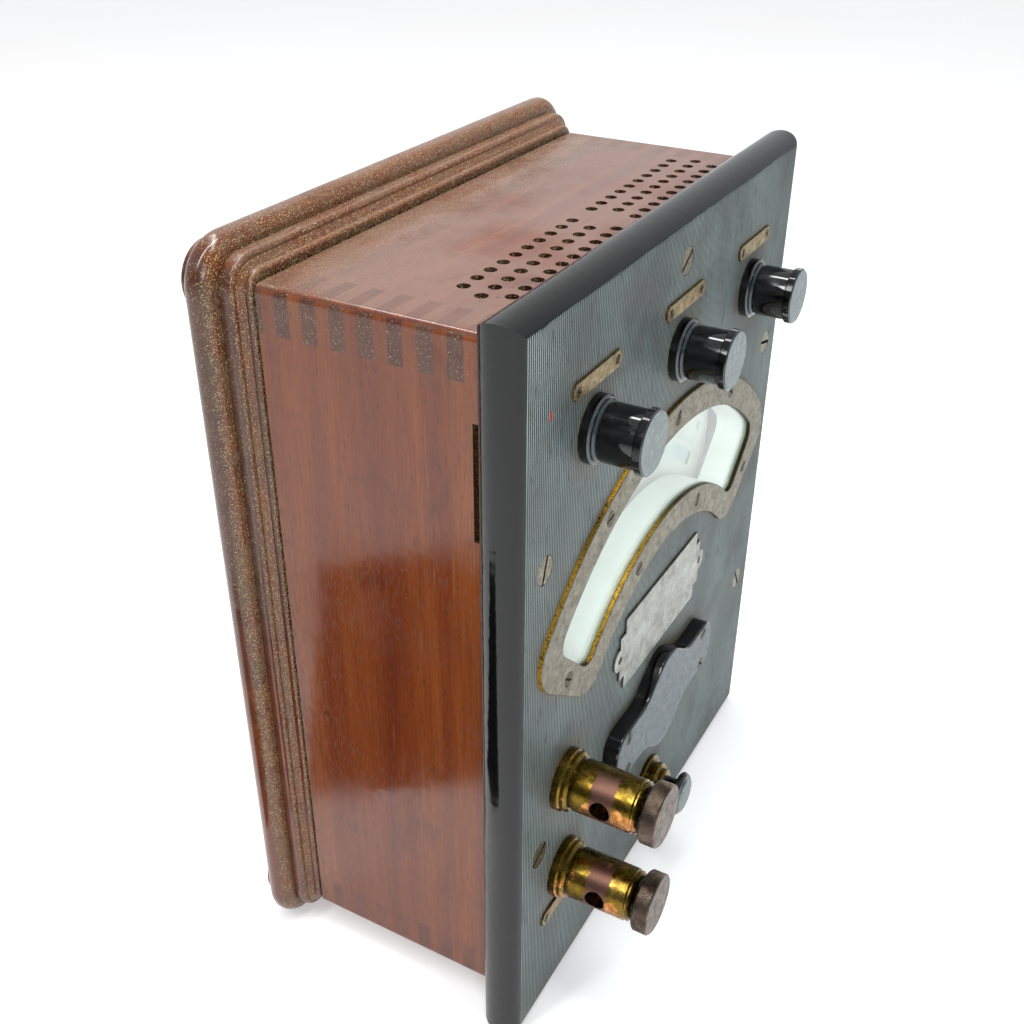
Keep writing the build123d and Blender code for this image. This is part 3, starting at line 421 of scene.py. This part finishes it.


# name, three shades, size of the blotches in mm, roughness, dust, colour and share of the spots,
# colour of the painted highlight on the edges
METALS = {
    ("oxidised_brass_heads", ("#453b33", "#62554b", "#7c6d60"), 5.0, 0.34, 0.25, "#29211c", 0.35):
        ("clamp_head_upper", "clamp_head_lower"),
    ("grained_nickel_silver", ("#6a665a", "#7d796c", "#8d8a7c"), 4.0, 0.40, 0.45, "#3f3828", 0.5,
     "#e0ae3e"):
        ("window_bezel",),
    ("silvered_brass_plate", ("#8b8d88", "#a0a39e", "#b1b5b0"), 6.0, 0.40, 0.35, "#5a523e", 0.35):
        ("nameplate",),
    ("gilt_brass_labels", ("#6d5d3c", "#968460", "#b3a27c"), 3.0, 0.40, 0.40, "#2b2317", 0.85):
        ("terminal_labels",),
    ("worn_steel_screws", ("#5c584b", "#7f7a69", "#989280"), 1.6, 0.38, 0.25, "#1b160f", 0.5):
        ("panel_screws", "plinth_screws"),
    ("dark_small_screws", ("#322d22", "#4d4636", "#6a6250"), 1.6, 0.38, 0.25, "#14100a", 0.6):
        ("plate_screws", "cover_screws", "bezel_screws"),
    ("turned_brass", ("#8a6d2f", "#ad8c46", "#c2a25c"), 4.0, 0.24, 0.1):
        ("clamp_spindle_upper", "clamp_spindle_lower", "terminal_studs", "terminal_insert_1",
         "terminal_insert_2", "terminal_insert_3", "stud_nuts", "stud_washers", "stud_lugs",
         "key_bridge", "key_blades", "pointer_weight", "front_bridge", "rear_bridge",
         "jewel_screw", "movement_pillars", "damping_box", "rod_brackets"),
    ("drawn_steel", ("#8c8c8a", "#a6a6a4", "#bcbcba"), 4.0, 0.24, 0.1): ("staff", "bobbin_rods"),
    ("spring_bronze", ("#a3683a", "#bb7d48", "#cc9460"), 4.0, 0.26, 0.05): ("hairsprings",),
    ("blackened_aluminium", ("#131313", "#1c1c1c", "#2a2a2a"), 4.0, 0.45, 0.05):
        ("pointer", "damping_vane"),
    ("enamelled_copper", ("#6f2f12", "#8a401b", "#a45427"), 2.0, 0.22, 0.1):
        ("moving_coil", "field_coils", "bobbin_windings"),
}
for recipe, names in METALS.items():
    material = tarnished_metal(*recipe)
    for name in names:
        nodes[name].data.materials[0] = material
print("metals finished:", len(METALS))

# %% [markdown]
# ## The dial, its mirror and the window
# The dial is sheet zinc painted flat white, and the light well of the window is painted to match.
# The arc of mirror lets the reader put the pointer over its own reflection. The window is plain
# glass: it bends light (IOR 1.5), but lamps have to reach the dial through it, so rays to lamps
# pass straight through by a Light Path mix.

# %% Dial, mirror, glass, felt and leads
def plain(name, hexes, size, rough, **sockets):
    """A quiet surface: three near shades in blotches of size mm, and a fine tooth."""
    f = Finish(name, **sockets)
    shades = f.add("ValToRGB", f.add("TexNoise", f.mm, 1 / size, 5.0),
                   stops=list(zip((0.3, 0.5, 0.7), hexes)))
    fine = f.add("TexNoise", f.mm, 1 / (size * 0.12), 4.0)
    tooth = f.add("Bump", Height=fine, Distance=0.00002, Strength=0.4)
    roughness = f.add("Math", fine, 0.12, rough, operation="MULTIPLY_ADD")
    f.give(Base_Color=shades, Roughness=roughness, Normal=tooth)
    return f.material


def window_pane(name):
    f = Finish(name, Base_Color="#f2faf6", Roughness=0.0, IOR=1.5, Transmission_Weight=1.0)
    clear = f.add("BsdfTransparent", "#eef6f2")
    lit = f.add("MixShader", f.add("LightPath", out=1), f.surface, clear)
    f.tree.links.new(lit, f.end.inputs[0])
    return f.material


dial_white = plain("white_dial_enamel", ("#e6eae1", "#f0f3ec", "#f5f7f1"), 14.0, 0.42)
mirror = plain("silvered_mirror", ("#b9c8d2", "#c6d3da", "#d2dde2"), 9.0, 0.04, Metallic=1.0)
felt = plain("black_felt", ("#0d0c0b", "#151311", "#1d1a17"), 1.2, 0.85)
cotton = plain("red_cotton_braid", ("#4d150f", "#641d15", "#7a2a1f"), 0.6, 0.8)
nodes["window_glass"].data.materials[0] = window_pane("window_pane")
for name, material in {"dial_plate": dial_white, "window_liner": dial_white, "dial_mirror": mirror,
                       "panel_gasket": felt, "voltage_leads": cotton, "current_leads": cotton}.items():
    nodes[name].data.materials[0] = material
print("dial, window, felt and leads finished")

# %% [markdown]
# ## New pieces start alone
# Each new piece is a primitive that is shaped in edit mode. The operators act on all that is
# selected, so one helper leaves a single object selected, and another ends a piece: it applies the
# piece's place, gives it its finish and its body, and prints how many faces it has.

# %% Helpers for new pieces
def only(obj):
    bpy.ops.object.select_all(action="DESELECT")
    obj.select_set(True)
    bpy.context.view_layer.objects.active = obj


def finished(piece, name, material):
    only(piece)
    bpy.ops.object.transform_apply(location=True, rotation=True, scale=True)
    piece.name = piece.data.name = name
    piece.data.materials.clear()
    piece.data.materials.append(material)
    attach(piece, "instrument")
    print(name, "faces:", len(piece.data.polygons))
    return piece


# %% [markdown]
# ## The ribs of the panel
# The panel's face was combed with a planing tool into fine upright ribs, 1.05 mm apart, which kill
# reflections. A bump would fake them from the front, but at a low angle only real ribs catch the
# light one by one. One rib is a strip drawn up into a ridge, an array repeats it across the panel,
# and the crossing with a copy of the panel moved out by a tenth of a millimetre trims the ribs at
# every opening, screw and rounded edge.

# %% Ribs of the panel
RIB_HEIGHT = 0.085       # mm, above the flat face
RIB_ROOT = 0.12          # mm, below it
RIB_FOOT = 0.66          # share of the pitch
RIB_CREST = 0.42         # share of the foot
TRIM_LIFT = 0.1          # mm
low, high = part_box("panel")
count = int((high[0] - low[0]) / (RIB_PITCH * MM)) - 2
first_x = -RIB_PITCH * MM * (count - 1) / 2
bpy.ops.object.select_all(action="DESELECT")
first_place = (first_x, (PANEL_FACE + RIB_ROOT) * MM, (low[2] + high[2]) / 2)
bpy.ops.mesh.primitive_plane_add(size=1, location=first_place, rotation=(pi / 2, 0, 0))
ribs = bpy.context.object
bpy.ops.object.mode_set(mode="EDIT")
bpy.ops.transform.resize(value=(RIB_PITCH * RIB_FOOT * MM, 1, high[2] - low[2] - 2 * MM))
rise = {"value": (0, -(RIB_ROOT + RIB_HEIGHT) * MM, 0)}
bpy.ops.mesh.extrude_region_move(TRANSFORM_OT_translate=rise)
bpy.ops.transform.resize(value=(RIB_CREST, 1, 1))
bpy.ops.object.mode_set(mode="OBJECT")
array = ribs.modifiers.new("across", "ARRAY")
array.use_relative_offset = False
array.use_constant_offset = True
array.constant_offset_displace = (RIB_PITCH * MM, 0, 0)
array.count = count
bpy.ops.object.modifier_apply(modifier=array.name)
only(nodes["panel"])
bpy.ops.object.duplicate()
former = bpy.context.object
bpy.ops.object.mode_set(mode="EDIT")
bpy.ops.mesh.select_all(action="SELECT")
bpy.ops.mesh.remove_doubles(threshold=0.000001)
bpy.ops.transform.translate(value=(0, -TRIM_LIFT * MM, 0))
bpy.ops.object.mode_set(mode="OBJECT")
only(ribs)
trim = ribs.modifiers.new("trim", "BOOLEAN")
trim.operation = "INTERSECT"
trim.object = former
bpy.ops.object.modifier_apply(modifier=trim.name)
bpy.data.objects.remove(former)
finished(ribs, "panel_ribs", panel_finish)
print("ribs:", count)

# %% [markdown]
# ## The divisions of the scale
# A hand-drawn scale has fifty thin divisions with a longer one at every fifth, and its numbers
# stand outside them. Each mark is a thin strip of ink: one short and one long stroke are modelled,
# copied round the arc of the movement, and joined. Fine grey ink stays quiet behind the glass.

# %% Divisions of the scale
PIVOT_Z = 73.1                   # mm, the height of the pointer's staff
DIAL_FACE = PANEL_FACE + 18.0    # mm, the front of the dial
FIRST, SWEEP = -40.0, 80.0       # degrees, of the first division and from there to the last
DIVISIONS, PER_NUMBER = 50, 5
STROKE_FEET = 99.2               # mm, from the staff
LONG, SHORT = 4.2, 2.6           # mm
STROKE_WIDTH, STROKE_DEPTH = 0.26, 0.05
ink = plain("faded_scale_ink", ("#8f9b9c", "#9ba6a6", "#a8b2b1"), 3.0, 0.5)


def on_arc(radius, degrees):
    return radius * sin(radians(degrees)) * MM, (PIVOT_Z + radius * cos(radians(degrees))) * MM


masters = {}
for length in (LONG, SHORT):
    bpy.ops.object.select_all(action="DESELECT")
    bpy.ops.mesh.primitive_plane_add(size=1, location=(0, 0, 0), rotation=(pi / 2, 0, 0))
    bpy.ops.object.transform_apply(location=False, rotation=True, scale=False)
    bpy.ops.object.mode_set(mode="EDIT")
    bpy.ops.transform.resize(value=(STROKE_WIDTH * MM, 1, length * MM))
    rise = {"value": (0, -STROKE_DEPTH * MM, 0)}
    bpy.ops.mesh.extrude_region_move(TRANSFORM_OT_translate=rise)
    bpy.ops.object.mode_set(mode="OBJECT")
    masters[length] = bpy.context.object
strokes = []
for division in range(DIVISIONS + 1):
    angle = FIRST + SWEEP * division / DIVISIONS
    length = SHORT if division % PER_NUMBER else LONG
    x, z = on_arc(STROKE_FEET + length / 2, angle)
    only(masters[length])
    bpy.ops.object.duplicate()
    stroke = bpy.context.object
    stroke.location = (x, (DIAL_FACE - 0.02) * MM, z)
    stroke.rotation_euler = (0, radians(angle), 0)
    strokes.append(stroke)
for master in masters.values():
    bpy.data.objects.remove(master)
bpy.ops.object.select_all(action="DESELECT")
for stroke in strokes:
    stroke.select_set(True)
bpy.context.view_layer.objects.active = strokes[0]
bpy.ops.object.join()
finished(bpy.context.object, "scale_divisions", ink)

# %% [markdown]
# ## The numbers of the scale
# The numbers are plain text, turned to stand along the arc, given a hair of thickness, and made a
# mesh before their place is applied.

# %% Numbers of the scale
NUMBER_ARC = 108.2               # mm, from the staff to the middle of the numbers
NUMBER_SIZE = 5.0                # mm
numbers = []
for number in range(DIVISIONS // PER_NUMBER + 1):
    angle = FIRST + SWEEP * number * PER_NUMBER / DIVISIONS
    x, z = on_arc(NUMBER_ARC, angle)
    bpy.ops.object.select_all(action="DESELECT")
    bpy.ops.object.text_add(location=(x, (DIAL_FACE - 0.03) * MM, z),
                            rotation=(pi / 2, radians(angle), 0))
    text = bpy.context.object
    text.data.body = str(number)
    text.data.size = NUMBER_SIZE * MM
    text.data.align_x = text.data.align_y = "CENTER"
    text.data.extrude = 0.03 * MM
    bpy.ops.object.convert(target="MESH")
    numbers.append(bpy.context.object)
bpy.ops.object.select_all(action="DESELECT")
for text in numbers:
    text.select_set(True)
bpy.context.view_layer.objects.active = numbers[0]
bpy.ops.object.join()
finished(bpy.context.object, "scale_numbers", ink)

# %% [markdown]
# ## A touch of red
# Beside the first terminal somebody put a dab of red paint to mark it. It is a small disc that is
# drawn out, inset and lifted so that it has the swollen look of a drop.

# %% Red dab
DAB_X, DAB_Z = -89.4, 233.6      # mm
DAB_RADIUS = 1.15
bpy.ops.object.select_all(action="DESELECT")
bpy.ops.mesh.primitive_circle_add(
    vertices=14, radius=DAB_RADIUS * MM, fill_type="NGON", rotation=(pi / 2, 0, 0),
    location=(DAB_X * MM, (PANEL_FACE - 0.02) * MM, DAB_Z * MM))
dab = bpy.context.object
bpy.ops.object.mode_set(mode="EDIT")
bpy.ops.mesh.extrude_region_move(TRANSFORM_OT_translate={"value": (0, -0.12 * MM, 0)})
bpy.ops.mesh.inset(thickness=0.3 * MM, depth=0.06 * MM)
bpy.ops.mesh.select_all(action="SELECT")
bpy.ops.transform.resize(value=(0.6, 1, 1.25))
bpy.ops.mesh.subdivide(number_cuts=1, smoothness=0.3, fractal=0.25, seed=4)
bpy.ops.object.mode_set(mode="OBJECT")
red_paint = plain("red_paint", ("#8c1f16", "#b02a1d", "#c4402f"), 0.9, 0.3)
finished(dab, "red_dab", red_paint)

# %% [markdown]
# ## Light, floor and camera
# A white floor that glows a little keeps the ground even and the shadows faint. The polished left
# side would mirror all of it, so a dark card on the floor, which only shows in reflections, keeps
# the haze off the middle of that side and lets the red of the wood through.

# %% Floor and card
CARD_PLACE = (-0.252, 0.105, 0.001)
CARD_SIZE = (0.185, 0.110, 1)
CARD_TURN = 144.0        # degrees
bpy.ops.object.select_all(action="DESELECT")
bpy.ops.mesh.primitive_grid_add(x_subdivisions=4, y_subdivisions=4, size=14, location=(0, 0, 0))
floor = bpy.context.object
floor.name = "studio_floor"
paper = Finish("studio_paper", Roughness=0.9, IOR=1.4, Emission_Strength=0.34)
white = paper.add("ValToRGB", paper.add("TexNoise", paper.mm, 1 / 400.0, 2.0), stops=[
    (0.3, "#f3f0ee"), (0.7, "#f1f2f2")])
paper.give(Base_Color=white, Emission_Color=white)
floor.data.materials.append(paper.material)
bpy.ops.object.select_all(action="DESELECT")
bpy.ops.mesh.primitive_plane_add(size=1, location=CARD_PLACE, rotation=(0, 0, radians(CARD_TURN)))
card = bpy.context.object
card.name = "dark_card"
bpy.ops.object.mode_set(mode="EDIT")
bpy.ops.transform.resize(value=CARD_SIZE, orient_type="LOCAL")
bpy.ops.object.mode_set(mode="OBJECT")
card_black = Finish("card_black", Roughness=0.9)
cloudy = card_black.add("TexNoise", card_black.mm, 1 / 60.0, 2.0)
card_black.give(Base_Color=card_black.add("ValToRGB", cloudy, stops=[
    (0.3, "#0d0b0a"), (0.7, "#151210")]))
card.data.materials.append(card_black.material)
card.visible_camera = card.visible_diffuse = card.visible_shadow = card.visible_transmission = False
print("staged:", floor.name, card.name)

# %% [markdown]
# The world is a soft ramp, bright beyond and above the instrument and dark behind the reader, so
# that black pieces stay black. Seen directly it is plain pale paper, so that the ramp only lights
# and reflects. The lamps are area lights, because a softbox is the plainest way to get clean
# highlights: two long tubes overhead and a small window at the left.

# %% World and lamps
world = bpy.data.worlds.new("studio")
bpy.context.scene.world = world
world.use_nodes = True
tree = world.node_tree
tree.nodes.clear()
BRIGHT_SIDE = (0.50, 0.42, 0.76)
towards = add(tree, "VectorMath", add(tree, "TexCoord", out=0), BRIGHT_SIDE, operation="DOT_PRODUCT")
room = add(tree, "ValToRGB", add(tree, "MapRange", towards, -1.0, 1.0), stops=[
    (0.0, "#6e7174"), (0.45, "#90959a"), (0.66, "#dae2e8"), (1.0, "#ffffff")])
seen = add(tree, "LightPath", out=0)
lit_room = add(tree, "Background", room, 0.82)
backdrop = add(tree, "MixShader", seen, lit_room, add(tree, "Background", "#f3f4f5", 1.0))
add(tree, "OutputWorld", backdrop)


def softbox(name, place, target, width, depth, power, tint="#ffffff"):
    light = bpy.data.lights.new(name, "AREA")
    light.shape = "RECTANGLE"
    light.size, light.size_y = width, depth
    light.energy = power
    light.color = linear(tint)[:3]
    lamp = bpy.data.objects.new(name, light)
    bpy.context.scene.collection.objects.link(lamp)
    lamp.location = place
    lamp.rotation_euler = (Vector(target) - Vector(place)).to_track_quat("-Z", "Y").to_euler()


middle = (0, 0, 0.13)
softbox("overhead_tube_left", (-0.35, 0.1, 1.15), middle, 0.12, 1.3, 8)
softbox("overhead_tube_right", (0.05, 0.1, 1.2), middle, 0.12, 1.3, 8)
softbox("window_left", (-1.3, -0.9, 0.9), middle, 0.5, 0.5, 9, "#f4f8ff")
print("lamps:", len(bpy.data.lights))

# %% [markdown]
# The camera stands close to the upper left corner and looks down along the panel. A lens of about
# 43 mm this near gives a strong perspective: the near corner looms and the far one shrinks.

# %% Camera
camera = bpy.data.cameras.new("camera")
camera.lens = 42.61
camera.sensor_width = 36
camera.clip_start = 0.01
eye = bpy.data.objects.new("camera", camera)
bpy.context.scene.collection.objects.link(eye)
eye.location = (-0.33679, -0.16513, 0.37351)
eye.rotation_euler = (radians(58.745), radians(-0.174), radians(-60.772))
bpy.context.scene.camera = eye
bpy.context.scene.view_settings.view_transform = "Standard"
print("camera lens:", round(camera.lens, 2), "mm")
